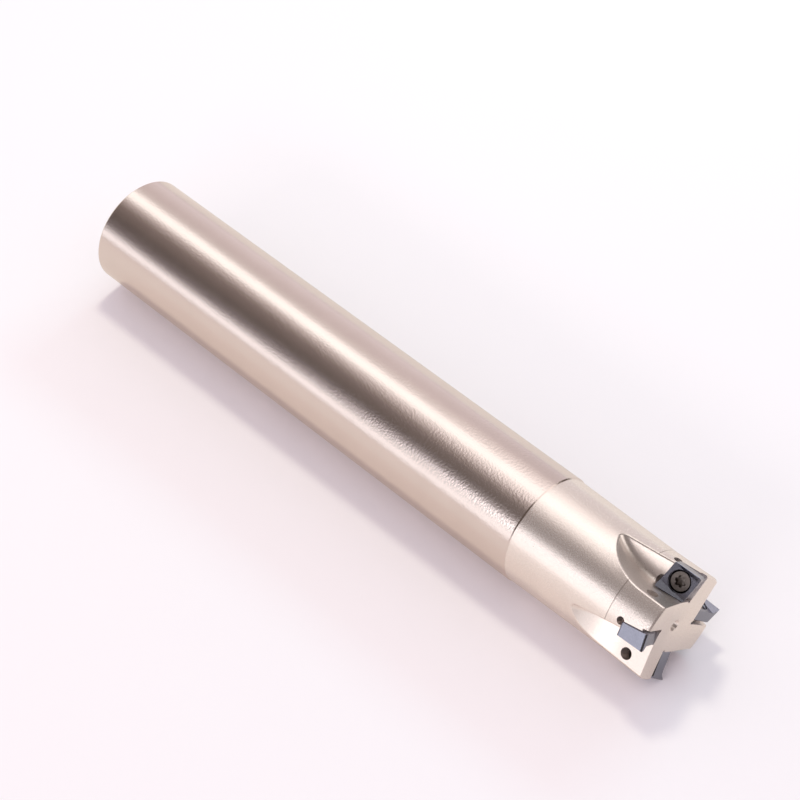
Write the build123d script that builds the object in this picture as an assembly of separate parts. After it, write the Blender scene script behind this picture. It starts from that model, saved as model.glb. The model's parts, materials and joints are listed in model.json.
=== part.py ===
"""Indexable shoulder milling cutter with a plain cylindrical shank.

The tool lies along +X with its cutting end forward; +Z is up and -Y is the near side.
The origin is the centre of the shank's flat rear face.  Millimetres throughout.
The cutter turns counter-clockwise seen from the front, the right-hand sense about +X.
"""
from build123d import *
from math import cos, radians, sin, sqrt, tan
import os

# ---- body -------------------------------------------------------------------------
shank_diameter = 25.0
body_length = 160.0            # rear face to the centre of the dished end face
head_length = 34.3             # step at the end of the shank to the same centre
rear_chamfer = 0.6
step_chamfer = 0.25
neck_diameter = 24.6           # just in front of the step
waist_diameter = 24.0          # where the neck's taper ends
band_setback = 8.6             # waist to the centre of the end face
rim_diameter = 24.4
dish_depth = 1.2               # how far the rim stands ahead of the face's centre
rim_chamfer = 0.35
centre_hole_diameter = 1.6
centre_hole_mouth = 2.6
centre_hole_depth = 4.0
rear_hole_diameter = 3.0
rear_hole_mouth = 6.0
rear_hole_depth = 8.0
centre_drill_angle = 60.0      # both centre holes' mouths
drill_point = 0.27             # a drilled hole's cone, as a share of its diameter

# ---- stations ---------------------------------------------------------------------
tooth_count = 4
station_pitch = 360 / tooth_count
nose_angle = -19.5             # first insert's nose, from +Z towards -Y about the axis

# ---- insert seat ------------------------------------------------------------------
seat_setback = 2.4             # seat centre behind the centre of the end face
seat_radius = 9.1
seat_angle = -11.5             # seat centre from its insert's nose
seat_tilt = 10.0               # seat normal leans outwards from the cutting direction
seat_rake = 10.0               # and forwards along the axis
seat_clearance = 0.04          # all round the insert

# ---- insert, its outline taken at the nose's height -------------------------------
insert_length = 6.5
insert_width = 6.3
insert_skew = 1.12             # how far the outer edge sits ahead of the inner edge
insert_relief = 2.5            # flanks lean inwards towards the seat
nose_height = 3.9
heel_height = 2.95             # the low end of each cutting edge
land_height = 2.75             # the flat round the screw
rake_slope = 40.0              # chip face falls from the edge to the flat
edge_land = 0.12               # narrow flat along the cutting edge
nose_radius = 0.5
heel_radius = 0.4
insert_edge_break = 0.35

# ---- insert screw, M3 with a 60 degree head ---------------------------------------
screw_diameter = 3.0
screw_tip = 4.0                # thread below the seat
screw_tip_chamfer = 0.35
head_diameter = 4.1
head_top = 2.15                # above the seat
head_angle = 60.0
head_rim = 0.25
head_edge_break = 0.08
recess_points = 2.4            # six-lobe recess across its points
recess_valleys = 1.74
recess_depth = 1.15
recess_lobes = 6
hole_diameter = 3.4            # through the insert
counterbore = 4.8              # round the head, up to the flat
running_gap = 0.03

# ---- gullet -----------------------------------------------------------------------
wall_height = 1.7              # tooth wall above the seat plane at the insert's outer edge
wall_tilt = 3.0                # wall normal leans outwards, less than the seat's does
floor_angle = -14.0            # floor normal from the nose
floor_radius = 6.3             # floor from the axis
run_out_radius = 17.0
run_out_setback = 5.2          # floor starts to rise this far behind the face's centre
root_radius = 1.4
rim_rounding = 0.45            # edge where the floor breaks out of the head

# ---- relief holes in the seat -----------------------------------------------------
back_relief_diameter = 1.7     # along the seat's back edge
back_relief_place = (-0.25, -0.2, 0.15)      # from the outline's inner back corner
corner_relief_diameter = 2.6   # square to the seat
corner_relief_place = (0.45, 1.0)
root_relief_diameter = 0.8     # along the seat's inner edge
root_relief_height = -0.2
front_relief_length = 1.6      # step in the seat under the insert's front edge
front_relief_depth = 0.5
tap_drill_diameter = 2.5
thread_run_out = 0.4           # full thread beyond the screw's tip

FAR = 40.0                     # longer than any cut through the head
OVERLAP = 0.05                 # cutters run past what they trim
TOUCH = 0.01                   # closer than this is the same place


def polar(angle, radius=1.0):
    """Vector across the axis at an angle from +Z towards -Y."""
    a = radians(angle)
    return Vector(0, -sin(a) * radius, cos(a) * radius)


def tilted_plane(tilt):
    """Plane through the upright seat's centre: x forwards, y outwards, z the cutting way."""
    outward = polar(seat_angle)
    turning = polar(seat_angle + 90)
    lean = radians(tilt)
    rake = radians(seat_rake)
    across = turning * cos(lean) + outward * sin(lean)
    normal = across * cos(rake) + Vector(sin(rake), 0, 0)
    forward = Vector(cos(rake), 0, 0) - across * sin(rake)
    centre = Vector(body_length - seat_setback, 0, 0) + outward * seat_radius
    return Plane(origin=centre, x_dir=forward, z_dir=normal)


def seat_plane():
    """Seat of the insert whose nose is straight up."""
    return tilted_plane(seat_tilt)


def wall_plane():
    """Tooth wall ahead of that seat, pivoted over the insert's outer edge."""
    seat = seat_plane()
    edge = seat.from_local_coords(Vector(0, insert_width / 2, wall_height))
    return Plane(origin=edge, x_dir=seat.x_dir, z_dir=tilted_plane(wall_tilt).z_dir)


def at_station(shape, index):
    """Turn a shape made for the upright nose to its own station."""
    return Rot(X=nose_angle + station_pitch * index) * shape


# ---- insert -----------------------------------------------------------------------
def relief_at(height):
    """How far the flanks have drawn in at a height above the seat."""
    return (nose_height - height) * tan(radians(insert_relief))


def insert_corners(inset):
    """Nose, outer back, inner back and inner front corners of the outline."""
    half_length = insert_length / 2 - inset
    half_width = insert_width / 2 - inset
    lead = insert_skew / 2
    return [
        (half_length + lead, half_width),
        (-half_length + lead, half_width),
        (-half_length - lead, -half_width),
        (half_length - lead, -half_width),
    ]


def insert_prism():
    """Relieved prism on the seat, its upright edges rounded as noses and heels."""
    outline = Polygon(*insert_corners(relief_at(0)), align=None)
    prism = extrude(outline, nose_height + FAR / 8, taper=-insert_relief)
    upright = [e for e in prism.edges() if e.bounding_box().size.Z > nose_height]
    noses = [e for e in upright if (e @ 0.5).X * (e @ 0.5).Y > 0]
    heels = [e @ 0.5 for e in upright if (e @ 0.5).X * (e @ 0.5).Y < 0]
    rounded = fillet(noses, nose_radius)
    left = [e for e in rounded.edges() if any((e @ 0.5 - h).length < TOUCH for h in heels)]
    return fillet(left, heel_radius)


def chip_wedge():
    """Body under the chip face of the outer cutting edge, which climbs to the nose."""
    half_length = insert_length / 2
    half_width = insert_width / 2
    climb = (nose_height - heel_height) / insert_length
    first = -half_length + insert_skew / 2 - OVERLAP
    last = half_length + insert_skew / 2 + OVERLAP

    def section(x):
        edge = heel_height + climb * (x - insert_skew / 2 + half_length)
        run = (edge - land_height) / tan(radians(rake_slope))
        return Plane.YZ.offset(x) * Polygon(
            (insert_width, 0),
            (insert_width, edge),
            (half_width - edge_land, edge),
            (half_width - edge_land - run, land_height),
            (half_width - edge_land - run, 0),
            align=None,
        )

    return loft([section(first), section(last)])


def cone_height(from_radius, to_radius):
    """Height over which the screw head's cone widens between two radii."""
    return (to_radius - from_radius) / tan(radians(head_angle / 2))


def screw_hole():
    """Clearance hole, cone seat and counterbore through the insert, round z."""
    seat_r = head_diameter / 2 + OVERLAP
    seat_z = head_top - head_rim
    bore_r = counterbore / 2
    profile = Polygon(
        (0, -1),
        (hole_diameter / 2, -1),
        (hole_diameter / 2, seat_z - cone_height(hole_diameter / 2, seat_r)),
        (bore_r, seat_z + cone_height(seat_r, bore_r)),
        (bore_r, FAR),
        (0, FAR),
        align=None,
    )
    return revolve(Plane.XZ * profile, Axis.Z)


def insert_blank():
    """The insert on its seat: flat base at z = 0, screw hole on z."""
    prism = insert_prism()
    wedge = chip_wedge()
    under = Box(FAR, FAR, land_height, align=(Align.CENTER, Align.CENTER, Align.MIN))
    top = under + wedge + Rot(Z=180) * wedge
    solid = (prism & top) - screw_hole()
    base = solid.faces().sort_by(Axis.Z)[0]
    return chamfer(base.outer_wire().edges(), insert_edge_break)


# ---- screw ------------------------------------------------------------------------
def recess():
    """Six-lobe drive recess, cut down from the head's top."""
    lobe = (recess_points - recess_valleys) / 2
    star = Circle(recess_valleys / 2)
    for k in range(recess_lobes):
        star += Rot(Z=360 / recess_lobes * k) * Pos(recess_points / 2 - lobe, 0) * Circle(lobe)
    return Pos(0, 0, head_top - recess_depth) * extrude(star, recess_depth + 1, dir=(0, 0, 1))


def insert_screw():
    """Screw on z, its thread drawn as its outside cylinder."""
    head_r = head_diameter / 2
    shaft_r = screw_diameter / 2
    seat_z = head_top - head_rim
    profile = Polygon(
        (0, -screw_tip),
        (shaft_r - screw_tip_chamfer, -screw_tip),
        (shaft_r, -screw_tip + screw_tip_chamfer),
        (shaft_r, seat_z - cone_height(shaft_r, head_r)),
        (head_r, seat_z),
        (head_r, head_top - head_edge_break),
        (head_r - head_edge_break, head_top),
        (0, head_top),
        align=None,
    )
    return revolve(Plane.XZ * profile, Axis.Z) - recess()


# ---- body -------------------------------------------------------------------------
def turned_body():
    """Shank, neck, front band and dished face as one turning."""
    shank_r = shank_diameter / 2
    rim_r = rim_diameter / 2
    rear_r = rear_hole_diameter / 2
    rear_mouth_r = rear_hole_mouth / 2
    centre_r = centre_hole_diameter / 2
    mouth_r = centre_hole_mouth / 2
    bevel = tan(radians(centre_drill_angle / 2))
    step_x = body_length - head_length
    rim_x = body_length + dish_depth
    profile = Polygon(
        (rear_hole_depth, 0),
        (rear_hole_depth - rear_hole_diameter * drill_point, rear_r),
        ((rear_mouth_r - rear_r) / bevel, rear_r),
        (0, rear_mouth_r),
        (0, shank_r - rear_chamfer),
        (rear_chamfer, shank_r),
        (step_x - step_chamfer, shank_r),
        (step_x, neck_diameter / 2),
        (body_length - band_setback, waist_diameter / 2),
        (rim_x - rim_chamfer, rim_r),
        (rim_x, rim_r - rim_chamfer),
        (body_length + dish_depth * mouth_r / rim_r, mouth_r),
        (body_length - (mouth_r - centre_r) / bevel, centre_r),
        (body_length - centre_hole_depth, centre_r),
        (body_length - centre_hole_depth - centre_hole_diameter * drill_point, 0),
        align=None,
    )
    return revolve(profile, Axis.X)


def floor_height(point):
    """Distance of a point from the axis along the gullet floor's normal."""
    return point.dot(polar(floor_angle))


def gullet():
    """Chip space ahead of the upright nose: tooth wall, floor and curved run-out."""
    tangent_x = body_length - run_out_setback
    open_x = body_length + FAR / 8
    top = floor_radius + run_out_radius / 2
    back_x = tangent_x - run_out_radius * sqrt(3) / 2
    mid = (tangent_x - run_out_radius / 2, floor_radius + run_out_radius * (1 - sqrt(3) / 2))
    outline = Polyline((back_x, top), (open_x, top), (open_x, floor_radius),
                       (tangent_x, floor_radius))
    run_out = ThreePointArc((tangent_x, floor_radius), mid, (back_x, top))
    side = Plane(origin=(0, 0, 0), x_dir=(1, 0, 0), z_dir=polar(floor_angle + 90))
    channel = extrude(side * make_face(outline + run_out), FAR, both=True)
    wall = wall_plane()
    ahead = wall.location * Box(
        2 * FAR, 2 * FAR, FAR, align=(Align.CENTER, Align.CENTER, Align.MIN))
    space = channel & ahead
    root = [e for e in space.edges()
            if abs(wall.to_local_coords(e @ 0.5).Z) < TOUCH
            and floor_height(e @ 0.5) < top - TOUCH
            and (e @ 0.5).X < open_x - TOUCH]
    return fillet(root, root_radius)


def on_wall(point):
    """Whether a point lies in the plane of any of the tooth walls."""
    wall = wall_plane()
    turned = [point.rotate(Axis.X, -nose_angle - station_pitch * k) for k in range(tooth_count)]
    return any(abs(wall.to_local_coords(p).Z) < OVERLAP for p in turned)


def floor_rims(body):
    """Edges where the gullets' floors and run-outs break out of the head."""
    found = []
    for edge in body.edges():
        points = [edge @ t for t in (0.1, 0.5, 0.9)]
        outside = min((p.Y ** 2 + p.Z ** 2) ** 0.5 for p in points) > waist_diameter / 2 - OVERLAP
        span = edge.bounding_box()
        on_head = span.min.X > body_length - head_length + OVERLAP
        lengthwise = span.size.X > 2 * rim_chamfer
        if outside and on_head and lengthwise and not all(on_wall(p) for p in points):
            found.append(edge)
    return found


def pocket():
    """Open-sided seat for one insert, with relief at its corner, in the seat's frame."""
    inset = relief_at(0) - seat_clearance
    _, back_outer, back_inner, _ = insert_corners(inset)
    slope = (back_outer[0] - back_inner[0]) / (back_outer[1] - back_inner[1])
    reach = insert_length
    outline = Polygon(
        back_inner,
        (back_inner[0] + insert_length + reach, back_inner[1]),
        (back_inner[0] + insert_length + reach, back_outer[1] + reach),
        (back_outer[0] + slope * reach, back_outer[1] + reach),
        align=None,
    )
    recessed = extrude(outline, FAR / 3, taper=-insert_relief)
    corner_x, corner_y = insert_corners(0)[2]
    corner = Pos(corner_x + corner_relief_place[0], corner_y + corner_relief_place[1], 0) * Cylinder(
        corner_relief_diameter / 2, FAR / 3, align=(Align.CENTER, Align.CENTER, Align.MIN))
    return recessed + corner


def relief_holes():
    """Drilled reliefs along the seat's back and inner edges, in the seat's frame."""
    along_back = Vector(insert_skew, insert_width, 0).normalized()
    back_x, along, back_z = back_relief_place
    start = Vector(*insert_corners(0)[2], 0) + Vector(back_x, 0, back_z) + along_back * along
    back = Plane(origin=start, x_dir=(0, 0, 1), z_dir=along_back).location * Cylinder(
        back_relief_diameter / 2, FAR / 2, align=(Align.CENTER, Align.CENTER, Align.MIN))
    inner = Vector(*insert_corners(relief_at(0))[2], root_relief_height)
    root = Plane(origin=inner, x_dir=(0, 1, 0), z_dir=(1, 0, 0)).location * Cylinder(
        root_relief_diameter / 2, FAR / 2, align=(Align.CENTER, Align.CENTER, Align.MIN))
    return back + root


def front_relief():
    """Step that leaves the insert's front edge clear of the seat, in the seat's frame."""
    outer, _, _, inner = insert_corners(0)
    slope = (outer[0] - inner[0]) / (outer[1] - inner[1])
    start = inner[0] - front_relief_length
    reach = insert_length
    outline = Polygon(
        (start, inner[1]),
        (start + reach, inner[1]),
        (start + reach, outer[1] + reach),
        (start + slope * (insert_width + reach), outer[1] + reach),
        align=None,
    )
    step = extrude(outline, front_relief_depth + OVERLAP)
    return Pos(0, 0, -front_relief_depth) * step


def tapped_hole():
    """Screw hole below the seat: thread clearance, then its tap drill right through."""
    down = (Align.CENTER, Align.CENTER, Align.MAX)
    thread = Cylinder(screw_diameter / 2 + running_gap, screw_tip + thread_run_out, align=down)
    drill = Cylinder(tap_drill_diameter / 2, FAR / 2, align=down)
    return thread + drill


def cutter_body():
    """The one-piece body: turned, gulleted, its rims rounded, then pocketed and drilled."""
    body = turned_body()
    seat = seat_plane().location
    for k in range(tooth_count):
        body -= at_station(gullet(), k)
    body = fillet(floor_rims(body), rim_rounding)
    for k in range(tooth_count):
        body -= at_station(seat * pocket(), k)
        body -= at_station(seat * relief_holes(), k)
        body -= at_station(seat * front_relief(), k)
        body -= at_station(seat * tapped_hole(), k)
    return body


# ---- write one file per node ------------------------------------------------------
def main():
    os.makedirs("parts", exist_ok=True)
    seat = seat_plane().location
    nodes = {"cutter_body": cutter_body()}
    for k in range(tooth_count):
        nodes[f"insert_{k + 1}"] = at_station(seat * insert_blank(), k)
        nodes[f"insert_screw_{k + 1}"] = at_station(seat * insert_screw(), k)
    for name, shape in nodes.items():
        solids = shape.solids()
        export_step(solids[0] if len(solids) == 1 else Compound(solids), f"parts/{name}.step")


main()
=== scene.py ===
"""Looks of an indexable shoulder mill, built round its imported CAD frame."""
import bmesh
import bpy
import json
from math import cos, pi, radians, sin
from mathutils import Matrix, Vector


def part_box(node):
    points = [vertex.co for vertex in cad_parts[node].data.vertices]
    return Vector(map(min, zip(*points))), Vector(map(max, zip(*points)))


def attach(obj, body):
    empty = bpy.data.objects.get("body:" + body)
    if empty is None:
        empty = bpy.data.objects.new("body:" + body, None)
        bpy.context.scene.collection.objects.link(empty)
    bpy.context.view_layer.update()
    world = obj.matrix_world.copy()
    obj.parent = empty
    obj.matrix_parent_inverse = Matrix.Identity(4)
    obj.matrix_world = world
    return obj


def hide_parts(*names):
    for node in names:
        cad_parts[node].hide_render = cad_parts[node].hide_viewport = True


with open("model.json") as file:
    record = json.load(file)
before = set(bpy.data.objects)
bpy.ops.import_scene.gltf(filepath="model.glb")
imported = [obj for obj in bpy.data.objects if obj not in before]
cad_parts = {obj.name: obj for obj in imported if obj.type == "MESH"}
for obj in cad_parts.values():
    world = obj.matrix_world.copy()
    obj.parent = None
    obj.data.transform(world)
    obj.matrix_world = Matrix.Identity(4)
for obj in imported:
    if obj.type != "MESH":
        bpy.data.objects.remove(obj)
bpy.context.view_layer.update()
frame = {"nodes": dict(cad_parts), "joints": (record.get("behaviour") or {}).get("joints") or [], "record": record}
record = frame["record"]
MM = 0.001

# ---- places taken from the frame ------------------------------------------------------
mounts = {mount["name"]: mount for mount in record["mounts"]}
SHANK_RADIUS = mounts["shank"]["dims"]["r_mm"] * MM
SHANK_LENGTH = mounts["shank"]["dims"]["length_mm"] * MM
STEP_CLEARANCE = 0.3 * MM      # the mount stops this far short of the head
STEP_X = mounts["shank"]["pos_m"][0] + SHANK_LENGTH + STEP_CLEARANCE
FRONT_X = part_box("cutter_body")[1].x
BAND_X = FRONT_X - 9.8 * MM    # crease where the head's front band begins
FLOOR_Z = -SHANK_RADIUS
FLOOR_HALF = 3.0               # of the paper's side, metres
TEETH = 4

# ---- camera ---------------------------------------------------------------------------
VIEW_AZIMUTH = 45.16           # degrees from -Y towards +X
VIEW_ELEVATION = 46.98
VIEW_DISTANCE = 0.5435
VIEW_LENS = 115.2              # on a 36 mm sensor
VIEW_TARGET = Vector((0.0792, 0.0045, 0.0))

# ---- insert screw, millimetres from the seat along its axis ---------------------------
HEAD_TOP = 2.15
HEAD_RIM = 1.90
HEAD_RADIUS = 2.05
HEAD_BREAK = 0.08
HEAD_CONE_FOOT = 0.9474        # where the head's cone meets the shaft's full radius
LOBE_CENTRE = 0.87
LOBE_RADIUS = 0.33
LOBES = 6
RECESS_DEPTH = 1.15
RECESS_CONE = 0.25
RECESS_LEAD = 0.08             # bevel at the recess's mouth
RECESS_MOUTH = 1.05            # of its lobes' size
RECESS_FOOT = 0.96
SHAFT_RADIUS = 1.5
CORE_RADIUS = 1.19
THREAD_PITCH = 0.5
THREAD_TOP = -0.1
THREAD_FADE = 0.4
THREAD_CREST = 0.14            # half a crest, and a flank, as shares of half a pitch
THREAD_FLANK = 0.62
NECK_RUN = 0.25                # from the head's cone down to the thread's core
TIP = -4.0
TIP_CHAMFER = 0.35
SHADE_RING_RADIUS = 2.36      # of the dark ring of painted shade round the head
SHADE_RING_EDGE = 0.12        # over which that ring fades into the coating
AROUND = 72
RING_STEP = 0.045
SHARP_ANGLE = 32               # edges steeper than this stay sharp

# ---- light: brightness of the studio round the tool's axis ----------------------------
# angle from straight up towards the near side (-Y), then linear red, green, blue
STUDIO = [
    (-100, (0.95, 0.86, 0.88)),
    (-73, (0.84, 0.74, 0.73)),
    (-49, (0.72, 0.62, 0.60)),
    (-33, (0.80, 0.72, 0.69)),
    (-24, (1.50, 1.45, 1.38)),
    (-11, (1.50, 1.45, 1.38)),
    (0, (0.62, 0.54, 0.51)),
    (15, (0.25, 0.20, 0.18)),
    (43, (0.14, 0.115, 0.105)),
    (63, (0.20, 0.17, 0.17)),
    (73, (0.70, 0.66, 0.66)),
    (80, (1.30, 1.26, 1.26)),
    (100, (1.20, 1.16, 1.15)),
]
# the same as the head mirrors it, faded in along the shank's front fifth
NARROW = [
    (-100, (0.78, 0.70, 0.72)),
    (-73, (0.64, 0.57, 0.56)),
    (-58, (0.66, 0.585, 0.57)),
    (-46, (1.15, 1.05, 1.01)),
    (-36, (1.60, 1.50, 1.44)),
    (5, (1.60, 1.50, 1.44)),
    (15, (0.75, 0.66, 0.63)),
    (27, (0.25, 0.22, 0.205)),
    (41, (0.24, 0.21, 0.20)),
    (52, (0.62, 0.585, 0.58)),
    (58, (1.70, 1.64, 1.66)),
    (61, (2.70, 2.62, 2.66)),
    (67, (2.70, 2.60, 2.62)),
    (74, (1.50, 1.42, 1.38)),
    (100, (1.22, 1.16, 1.13)),
]
AHEAD = (0.12, 0.095, 0.08)    # dark room beyond the cutting end
CARD = (2.4, 2.22, 2.14)       # bright card low on the near side
FRONT = (1.3, 1.2, 1.12)       # pale wall far ahead, on the far side
BACKDROP = (0.93, 0.90, 0.93)
SKY = (0.77, 0.715, 0.755)

# where each of those goes from none to full: a direction's share along +X or towards -Y
NARROW_FROM_X = (-0.47, -0.39)
NARROW_TO_X = (-0.24, -0.33)
AHEAD_FROM_X = (-0.12, 0.12)
AHEAD_TO_NEAR = (0.80, 0.60)
CARD_FROM_X = (-0.30, -0.18)
CARD_FROM_NEAR = (0.925, 0.965)
FRONT_FROM_X = (0.45, 0.58)
FRONT_TO_NEAR = (0.05, -0.15)

# name, azimuth from -Y and elevation in degrees, distance and size in metres, watts, tint
LIGHTS = [
    ("back", 185, 33, 0.6, (0.26, 0.10), 0.58, (0.40, 0.95, 1.0)),
    ("rear", 232, 69, 0.6, (0.09, 0.09), 0.88, (1.0, 0.99, 0.78)),
    ("near", 8, 24, 0.8, (0.50, 0.12), 1.10, (1.0, 0.97, 0.95)),
]

# ---- colours: darkest and lightest of each cloudy tone ---------------------------------
PAPER = ((0.925, 0.875, 0.915), (0.945, 0.90, 0.94))
# painted shade: the paper as glossy rays see it, darker and warmer than the camera sees it
PAPER_MIRRORED_SHADE = (0.82, 0.745, 0.69)
SHANK_NICKEL = ((0.74, 0.655, 0.63), (0.80, 0.715, 0.69))
HEAD_NICKEL = ((0.86, 0.785, 0.75), (0.91, 0.83, 0.79))
# painted shade: darker tone laid along the crease where the head's front band begins, standing in for the shade in
# that fine groove
CREASE_SHADE = (0.50, 0.44, 0.41)
COATING = ((0.26, 0.27, 0.335), (0.31, 0.325, 0.40))
# painted shade: near-black colour for the ring round the screw's head, standing in for the shade in the
# countersink's gap
COUNTERSINK_SHADE = (0.03, 0.03, 0.04)
BLACKENED = ((0.20, 0.182, 0.174), (0.285, 0.258, 0.245))

# ---- surfaces: scales of noise per metre, depths and widths in metres -------------------
CLOUD_SCALE = 140.0
GRAIN_SCALE = 5000.0
SPECKLE_SCALE = 2100.0
LINE_SCALE = 900.0
LINE_SQUEEZE = 12.0            # along the axis, so that the lines run round the shank
TURNED_SCALE = 3200.0
TURNED_DRIFT = 0.2             # how much of x shifts the turned rings
SHANK_DEPTHS = (0.005 * MM, 0.026 * MM, 0.003 * MM)    # grain, speckle, lines
HEAD_DEPTHS = (0.004 * MM, 0.018 * MM, 0.009 * MM)     # turned rings, speckle, grain
SHANK_ROUGHNESS = (0.10, 0.11)     # gain on the noise, then what is added to it
HEAD_ROUGHNESS = (0.12, 0.20)
CUT_ROUGHNESS = 0.03           # more of it where the head is milled out
HEAD_METALLIC = 0.84
STEP_EDGE = 0.1 * MM
CUT_EDGE = (SHANK_RADIUS - 0.45 * MM, SHANK_RADIUS - 0.75 * MM)
# radii, and band about the crease, where that painted crease shade lies
CREASE_SHADE_SPAN = (SHANK_RADIUS - 0.75 * MM, SHANK_RADIUS - 0.6 * MM)
CREASE_SHADE_WIDTH = (0.16 * MM, 0.04 * MM)
CARBIDE_CLOUD_SCALE = 500.0
CARBIDE_GRAIN_SCALE = 9000.0
CARBIDE_ROUGHNESS = (0.12, 0.16)
SCREW_CLOUD_SCALE = 700.0
SCREW_GRAIN_SCALE = 8000.0
SCREW_ROUGHNESS = (0.18, 0.27)
SMALL_PART_DEPTH = 0.006 * MM


class Graph:
    """Small helper that adds shader nodes and joins them up."""

    def __init__(self, tree):
        self.tree = tree
        tree.nodes.clear()

    def add(self, kind, inputs=(), **settings):
        node = self.tree.nodes.new(kind)
        for key, value in settings.items():
            setattr(node, key, value)
        for key, value in dict(inputs).items():
            self.feed(node.inputs[key], value)
        return node

    def feed(self, socket, value):
        if isinstance(value, bpy.types.NodeSocket):
            self.tree.links.new(value, socket)
        else:
            socket.default_value = value

    def math(self, operation, a, b=0.0):
        return self.add("ShaderNodeMath", {0: a, 1: b}, operation=operation).outputs[0]

    def scaled(self, value, gain, offset):
        return self.math("ADD", self.math("MULTIPLY", value, gain), offset)

    def step(self, value, low, high):
        """0 below low, 1 above high, smooth between."""
        node = self.add("ShaderNodeMapRange", {0: value, 1: low, 2: high},
                        interpolation_type="SMOOTHSTEP")
        return node.outputs[0]

    def mix(self, factor, a, b):
        node = self.add("ShaderNodeMix", data_type="RGBA")
        for socket, value in zip((node.inputs[0], node.inputs[6], node.inputs[7]), (factor, a, b)):
            self.feed(socket, value)
        return node.outputs[2]

    def blend(self, factor, a, b):
        node = self.add("ShaderNodeMix", {0: factor, 2: a, 3: b}, data_type="FLOAT")
        return node.outputs[0]

    def noise(self, vector, scale, detail=2.0, roughness=0.5):
        node = self.add("ShaderNodeTexNoise", {"Vector": vector, "Scale": scale, "Detail": detail,
                                               "Roughness": roughness})
        return node.outputs["Fac"]

    def ramp(self, place, bands):
        """Colour at a place from 0 to 1 that stands for -180 to 180 degrees."""
        node = self.add("ShaderNodeValToRGB", {0: place})
        stops = node.color_ramp.elements
        while len(stops) < len(bands):
            stops.new(0.5)
        for stop, (angle, rgb) in zip(stops, bands):
            stop.position = (angle + 180) / 360
            stop.color = colour(*rgb)
        return node.outputs[0]

    def vector(self, x, y, z):
        return self.add("ShaderNodeCombineXYZ", {0: x, 1: y, 2: z}).outputs[0]

    def bump(self, height, distance, normal=None):
        node = self.add("ShaderNodeBump", {"Height": height, "Distance": distance, "Strength": 1.0})
        if normal is not None:
            self.feed(node.inputs["Normal"], normal)
        return node.outputs[0]

    def cloudy(self, place, scale, tones, detail=3.0):
        dark, light = tones
        return self.mix(self.noise(place, scale, detail), colour(*dark), colour(*light))

    def metal(self, tone, roughness, normal, metallic=1.0):
        surface = self.add("ShaderNodeBsdfPrincipled", {
            "Base Color": tone, "Metallic": metallic, "Roughness": roughness, "Normal": normal})
        self.add("ShaderNodeOutputMaterial", {0: surface.outputs[0]})


def colour(red, green, blue):
    return (red, green, blue, 1.0)


# ---- studio ---------------------------------------------------------------------------
def build_world():
    """Glossy rays see the banded studio; every other ray sees a plain pale sky."""
    world = bpy.data.worlds.new("studio")
    world.use_nodes = True
    g = Graph(world.node_tree)
    direction = g.add("ShaderNodeTexCoord").outputs["Generated"]
    split = g.add("ShaderNodeSeparateXYZ", {0: direction})
    along, up = split.outputs[0], split.outputs[2]
    near = g.math("MULTIPLY", split.outputs[1], -1.0)
    turn = g.math("ARCTAN2", near, up)
    place = g.add("ShaderNodeMapRange", {0: turn, 1: -pi, 2: pi}).outputs[0]
    narrow = g.math("MULTIPLY", g.step(along, *NARROW_FROM_X), g.step(along, *NARROW_TO_X))
    seen = g.mix(narrow, g.ramp(place, STUDIO), g.ramp(place, NARROW))
    ahead = g.math("MULTIPLY", g.step(along, *AHEAD_FROM_X), g.step(near, *AHEAD_TO_NEAR))
    seen = g.mix(ahead, seen, colour(*AHEAD))
    card = g.math("MULTIPLY", g.step(along, *CARD_FROM_X), g.step(near, *CARD_FROM_NEAR))
    seen = g.mix(card, seen, colour(*CARD))
    front = g.math("MULTIPLY", g.step(along, *FRONT_FROM_X), g.step(near, *FRONT_TO_NEAR))
    seen = g.mix(front, seen, colour(*FRONT))
    path = g.add("ShaderNodeLightPath")
    lit = g.mix(path.outputs["Is Diffuse Ray"], colour(*BACKDROP), colour(*SKY))
    seen = g.mix(path.outputs["Is Glossy Ray"], lit, seen)
    background = g.add("ShaderNodeBackground", {0: seen, 1: 1.0})
    g.add("ShaderNodeOutputWorld", {0: background.outputs[0]})
    world.cycles.sampling_method = "NONE"
    bpy.context.scene.world = world


def build_camera():
    """Camera aimed at the target, so its view is neither shifted nor rolled."""
    azimuth, elevation = radians(VIEW_AZIMUTH), radians(VIEW_ELEVATION)
    back = Vector((sin(azimuth) * cos(elevation), -cos(azimuth) * cos(elevation), sin(elevation)))
    data = bpy.data.cameras.new("camera")
    data.lens = VIEW_LENS
    data.sensor_width = 36.0
    camera = bpy.data.objects.new("camera", data)
    camera.location = VIEW_TARGET + back * VIEW_DISTANCE
    camera.rotation_euler = back.to_track_quat("Z", "Y").to_euler()
    bpy.context.scene.collection.objects.link(camera)
    bpy.context.scene.camera = camera


def build_light(name, azimuth, elevation, distance, size, power, tint):
    """Area light aimed at the middle of the tool, not seen by reflections."""
    a, e = radians(azimuth), radians(elevation)
    away = Vector((sin(a) * cos(e), -cos(a) * cos(e), sin(e)))
    data = bpy.data.lights.new(name, "AREA")
    data.shape = "RECTANGLE"
    data.size, data.size_y = size
    data.energy = power
    data.color = tint
    light = bpy.data.objects.new(name, data)
    light.location = Vector((FRONT_X / 2, 0, 0)) + away * distance
    light.rotation_euler = away.to_track_quat("Z", "Y").to_euler()
    light.visible_glossy = False
    bpy.context.scene.collection.objects.link(light)


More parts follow.
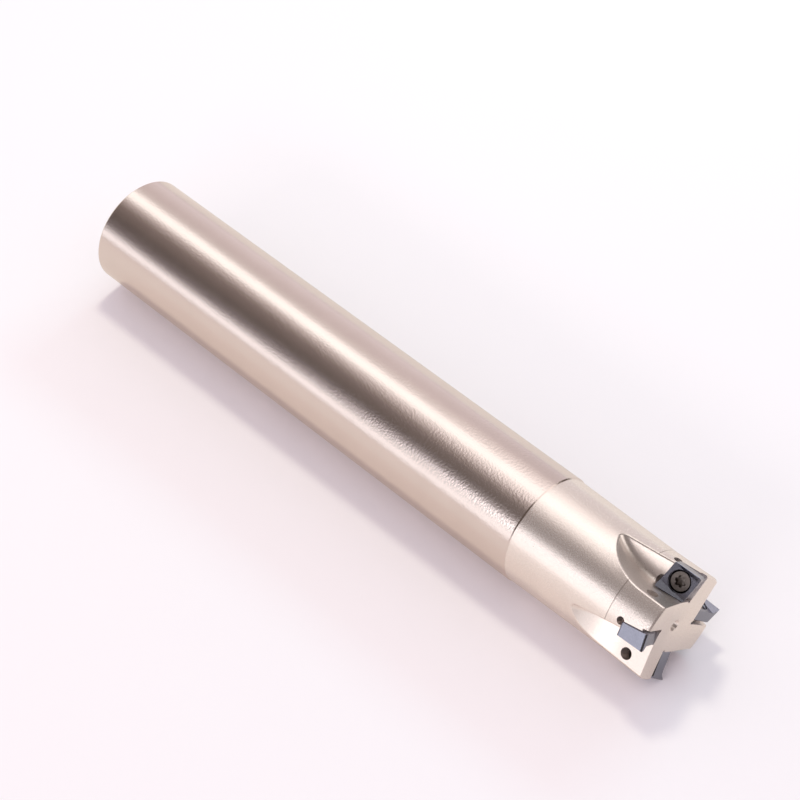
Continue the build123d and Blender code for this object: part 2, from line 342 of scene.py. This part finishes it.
def build_floor():
    """Plain pale paper under the tool; what the steel mirrors of it is painted darker and warmer, a painted shade
    standing in for the paper shaded round the tool.
    """
    bm = bmesh.new()
    corners = [(-FLOOR_HALF, -FLOOR_HALF), (FLOOR_HALF, -FLOOR_HALF),
               (FLOOR_HALF, FLOOR_HALF), (-FLOOR_HALF, FLOOR_HALF)]
    bm.faces.new([bm.verts.new((x, y, FLOOR_Z)) for x, y in corners])
    mesh = bpy.data.meshes.new("floor")
    bm.to_mesh(mesh)
    bm.free()
    floor = bpy.data.objects.new("floor", mesh)
    bpy.context.scene.collection.objects.link(floor)
    material, g, place = new_material("floor_paper")
    tone = g.cloudy(place, 9.0, PAPER, detail=4.0)
    # painted shade: glossy rays get the darker, warmer paper tone
    mirrored = g.add("ShaderNodeLightPath").outputs["Is Glossy Ray"]
    tone = g.mix(mirrored, tone, colour(*PAPER_MIRRORED_SHADE))
    surface = g.add("ShaderNodeBsdfPrincipled", {"Base Color": tone, "Roughness": 0.9,
                                                 "Specular IOR Level": 0.1})
    g.add("ShaderNodeOutputMaterial", {0: surface.outputs[0]})
    mesh.materials.append(material)


# ---- materials ------------------------------------------------------------------------
def new_material(name):
    """A material, its graph and the place on the object in metres."""
    material = bpy.data.materials.new(name)
    material.use_nodes = True
    g = Graph(material.node_tree)
    return material, g, g.add("ShaderNodeTexCoord").outputs["Object"]


def steel_material():
    """Nickel-plated steel: ground satin shank, matte head, turned end face."""
    material, g, place = new_material("nickel_steel")
    split = g.add("ShaderNodeSeparateXYZ", {0: place})
    x, y, z = split.outputs[0], split.outputs[1], split.outputs[2]
    radius = g.math("SQRT", g.math("ADD", g.math("MULTIPLY", y, y), g.math("MULTIPLY", z, z)))
    head = g.step(x, STEP_X - STEP_EDGE, STEP_X + STEP_EDGE)
    inside = g.step(radius, *CUT_EDGE)

    grain = g.noise(place, GRAIN_SCALE, detail=3.0, roughness=0.6)
    speckle = g.noise(place, SPECKLE_SCALE, detail=2.0, roughness=0.6)
    squeezed = g.vector(g.math("MULTIPLY", x, LINE_SQUEEZE), y, z)
    lines = g.noise(squeezed, LINE_SCALE, detail=4.0, roughness=0.65)
    rings = g.vector(radius, g.math("MULTIPLY", x, TURNED_DRIFT), 0.0)
    turned = g.noise(rings, TURNED_SCALE, detail=3.0, roughness=0.6)

    tone = g.mix(head, g.cloudy(place, CLOUD_SCALE, SHANK_NICKEL),
                 g.cloudy(place, CLOUD_SCALE, HEAD_NICKEL))
    # painted shade: the tone darkens in a thin ring along the crease at the band's start
    off_band = g.math("ABSOLUTE", g.math("SUBTRACT", x, BAND_X))
    crease_shade = g.math("MULTIPLY", g.step(off_band, *CREASE_SHADE_WIDTH), g.step(radius, *CREASE_SHADE_SPAN))
    tone = g.mix(crease_shade, tone, colour(*CREASE_SHADE))

    roughness = g.blend(head, g.scaled(lines, *SHANK_ROUGHNESS), g.scaled(grain, *HEAD_ROUGHNESS))
    roughness = g.math("ADD", roughness, g.math("MULTIPLY", inside, CUT_ROUGHNESS))
    ground = blasted = None
    for height, depth in zip((grain, speckle, lines), SHANK_DEPTHS):
        ground = g.bump(height, depth, ground)
    for height, depth in zip((turned, speckle, grain), HEAD_DEPTHS):
        blasted = g.bump(height, depth, blasted)
    normal = g.add("ShaderNodeMix", data_type="VECTOR")
    for socket, value in zip((0, 4, 5), (head, ground, blasted)):
        g.feed(normal.inputs[socket], value)
    g.metal(tone, roughness, normal.outputs[1], g.blend(head, 1.0, HEAD_METALLIC))
    return material


def carbide_material(tooth):
    """Blue-grey coating, with a ring of painted shade, nearly black, on the countersink that the screw's head sits
    in.
    """
    material, g, place = new_material(f"coated_carbide_{tooth}")
    joint = screw_joint(tooth)
    arm = g.add("ShaderNodeVectorMath", {0: place, 1: joint["pos_m"]}, operation="SUBTRACT")
    swept = g.add("ShaderNodeVectorMath", {0: arm.outputs[0], 1: joint["axis"]},
                  operation="CROSS_PRODUCT")
    off_axis = g.add("ShaderNodeVectorMath", {0: swept.outputs[0]}, operation="LENGTH")
    # painted shade: a ring round the screw's axis is painted nearly black
    shade_ring = g.step(off_axis.outputs["Value"], SHADE_RING_RADIUS * MM,
                  (SHADE_RING_RADIUS - SHADE_RING_EDGE) * MM)
    tone = g.mix(shade_ring, g.cloudy(place, CARBIDE_CLOUD_SCALE, COATING), colour(*COUNTERSINK_SHADE))
    grain = g.noise(place, CARBIDE_GRAIN_SCALE, detail=3.0, roughness=0.6)
    g.metal(tone, g.scaled(grain, *CARBIDE_ROUGHNESS), g.bump(grain, SMALL_PART_DEPTH))
    return material


def screw_material():
    """Blackened steel."""
    material, g, place = new_material("blackened_steel")
    grain = g.noise(place, SCREW_GRAIN_SCALE, detail=3.0, roughness=0.6)
    tone = g.cloudy(place, SCREW_CLOUD_SCALE, BLACKENED)
    g.metal(tone, g.scaled(grain, *SCREW_ROUGHNESS), g.bump(grain, SMALL_PART_DEPTH))
    return material


# ---- insert screws --------------------------------------------------------------------
def screw_joint(tooth):
    return next(joint for joint in frame["joints"] if joint["name"] == f"screw_{tooth}_turn")


def lobe_radius(angle):
    """Distance from the axis to the six-lobe recess's wall."""
    reach = LOBE_CENTRE
    for k in range(LOBES):
        turn = angle - 2 * pi * k / LOBES
        inside = LOBE_RADIUS ** 2 - (LOBE_CENTRE * sin(turn)) ** 2
        if inside > 0 and cos(turn) > 0:
            reach = max(reach, LOBE_CENTRE * cos(turn) + inside ** 0.5)
    return reach


def thread_radius(angle, z):
    """Right-hand trapezoidal thread that fades out towards the neck and the tip."""
    phase = (z / THREAD_PITCH - angle / (2 * pi)) % 1.0
    off_crest = abs(phase - 0.5) * 2
    cut = min(max((off_crest - THREAD_CREST) / THREAD_FLANK, 0.0), 1.0)
    fade = min(max((THREAD_TOP + THREAD_FADE - z) / THREAD_FADE, 0.0), 1.0)
    crest = CORE_RADIUS + (SHAFT_RADIUS - CORE_RADIUS) * fade
    radius = crest - (crest - CORE_RADIUS) * cut
    tip = SHAFT_RADIUS - TIP_CHAMFER + (z - TIP)
    return min(radius, tip)


def screw_rings():
    """(height, radius at each step round the axis) from the recess's floor to the tip."""
    angles = [2 * pi * k / AROUND for k in range(AROUND)]
    lobes = [lobe_radius(angle) for angle in angles]
    rings = [
        (HEAD_TOP - RECESS_DEPTH, [RECESS_FOOT * r for r in lobes]),
        (HEAD_TOP - RECESS_LEAD, lobes),
        (HEAD_TOP, [RECESS_MOUTH * r for r in lobes]),
        (HEAD_TOP, [HEAD_RADIUS - HEAD_BREAK] * AROUND),
        (HEAD_TOP - HEAD_BREAK, [HEAD_RADIUS] * AROUND),
        (HEAD_RIM, [HEAD_RADIUS] * AROUND),
        (HEAD_CONE_FOOT, [SHAFT_RADIUS] * AROUND),
        (HEAD_CONE_FOOT - NECK_RUN, [CORE_RADIUS] * AROUND),
    ]
    z = HEAD_CONE_FOOT - NECK_RUN - RING_STEP
    while z > TIP:
        rings.append((z, [thread_radius(angle, z) for angle in angles]))
        z -= RING_STEP
    rings.append((TIP, [thread_radius(angle, TIP) for angle in angles]))
    return angles, rings


def build_screw(tooth, material):
    """Threaded screw in place of the plain one, on its joint's own axis."""
    joint = screw_joint(tooth)
    axis = Vector(joint["axis"]).normalized()
    ahead = (Vector((1, 0, 0)) - axis * axis.x).normalized()
    side = axis.cross(ahead)
    origin = Vector(joint["pos_m"])

    def place(radius, angle, z):
        return origin + (ahead * cos(angle) + side * sin(angle)) * radius * MM + axis * z * MM

    angles, rings = screw_rings()
    bm = bmesh.new()
    rows = []
    for z, radii in rings:
        rows.append([bm.verts.new(place(r, a, z)) for r, a in zip(radii, angles)])
    for upper, lower in zip(rows, rows[1:]):
        for k in range(AROUND):
            n = (k + 1) % AROUND
            bm.faces.new((upper[k], lower[k], lower[n], upper[n]))
    floor = bm.verts.new(place(0, 0, HEAD_TOP - RECESS_DEPTH - RECESS_CONE))
    point = bm.verts.new(place(0, 0, TIP))
    for k in range(AROUND):
        n = (k + 1) % AROUND
        bm.faces.new((floor, rows[0][k], rows[0][n]))
        bm.faces.new((point, rows[-1][n], rows[-1][k]))
    bmesh.ops.recalc_face_normals(bm, faces=bm.faces)
    mesh = bpy.data.meshes.new(f"threaded_screw_{tooth}")
    bm.to_mesh(mesh)
    bm.free()
    mesh.shade_smooth()
    mesh.set_sharp_from_angle(angle=radians(SHARP_ANGLE))
    mesh.materials.append(material)
    screw = bpy.data.objects.new(f"threaded_screw_{tooth}", mesh)
    bpy.context.scene.collection.objects.link(screw)
    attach(screw, f"screw_{tooth}")
    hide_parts(f"insert_screw_{tooth}")


def give(name, material):
    """Put a material in every slot of a CAD node."""
    node = frame["nodes"][name]
    if not node.material_slots:
        node.data.materials.append(material)
    for material_slot in node.material_slots:
        material_slot.material = material


build_world()
build_camera()
build_floor()
for light in LIGHTS:
    build_light(*light)
give("cutter_body", steel_material())
blackened = screw_material()
for tooth in range(1, TEETH + 1):
    give(f"insert_{tooth}", carbide_material(tooth))
    build_screw(tooth, blackened)
bpy.context.scene.view_settings.view_transform = "Standard"
